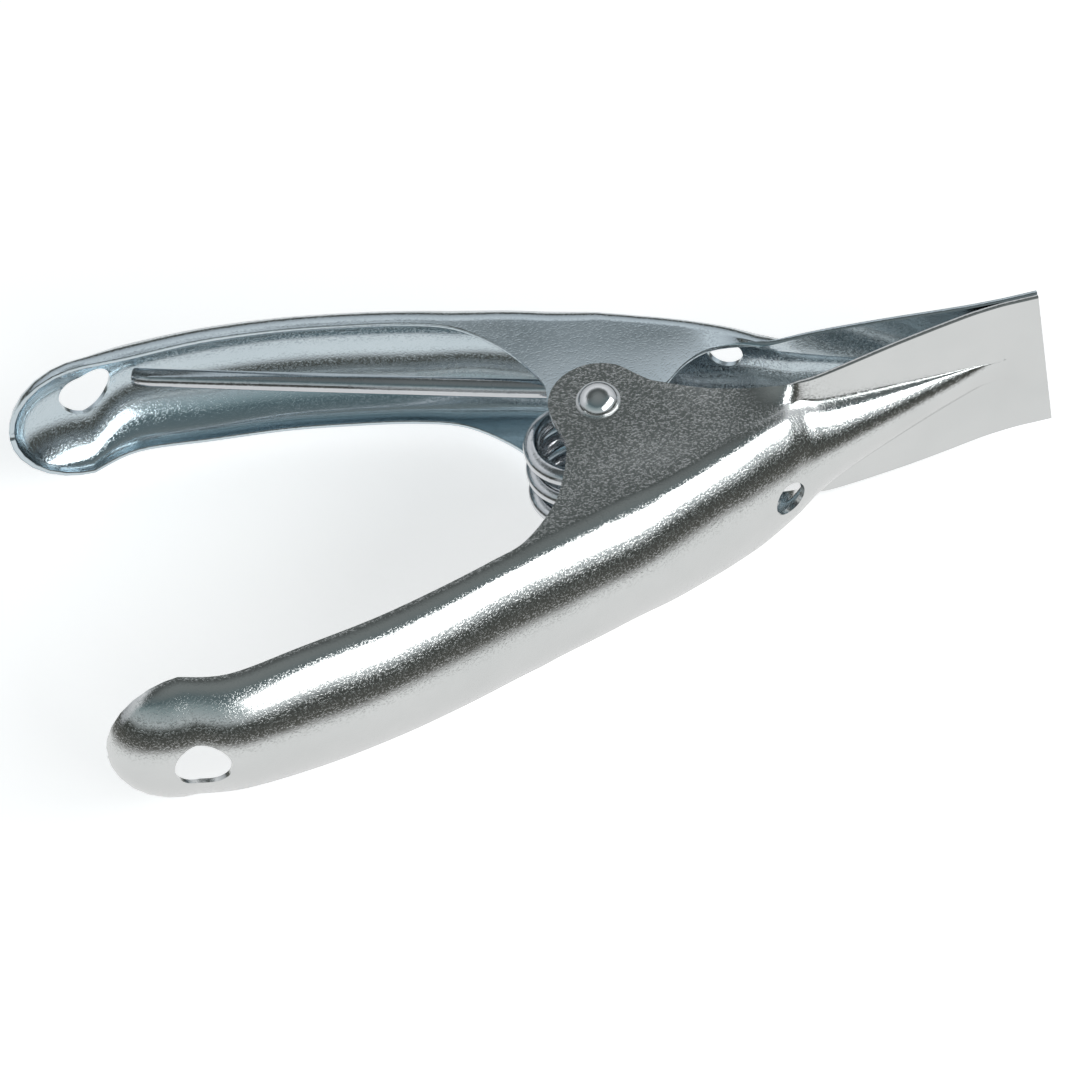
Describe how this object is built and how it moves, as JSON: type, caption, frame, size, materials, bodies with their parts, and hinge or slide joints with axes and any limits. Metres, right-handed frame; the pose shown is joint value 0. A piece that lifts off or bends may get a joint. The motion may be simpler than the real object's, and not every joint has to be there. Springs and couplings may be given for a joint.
{
  "type": "spring clamp",
  "caption": "Pressed steel spring clamp: two channel-section handles with flat jaws, a rivet through their ears and a torsion spring.",
  "frame": {"origin": "on the pivot axis, halfway across the clamp, in the plane where the closed jaws meet", "axes": "+X from the pivot to the jaw tips, +Y towards the inner handle, +Z along the rivet to its domed head"},
  "size_m": [0.1531, 0.0826, 0.0295],
  "materials": {
    "outer_handle": "bright zinc plate",
    "inner_handle": "bright zinc plate",
    "pivot_rivet": "polished",
    "torsion_spring": "bright drawn wire"
  },
  "bodies": {
    "outer": {"outer_handle": "outer_handle", "pivot_rivet": "pivot_rivet", "torsion_spring": "torsion_spring"},
    "inner": {"inner_handle": "inner_handle"}
  },
  "joints": [
    {"name": "clamp_hinge", "type": "hinge", "parent": "outer", "child": "inner", "pos_m": [0, 0, 0], "axis": [0, 0, 1], "range_deg": [0, 42], "stiffness_Nm_per_rad": 0.9, "springref_deg": -51.57, "deforming": ["torsion_spring"]}
  ]
}
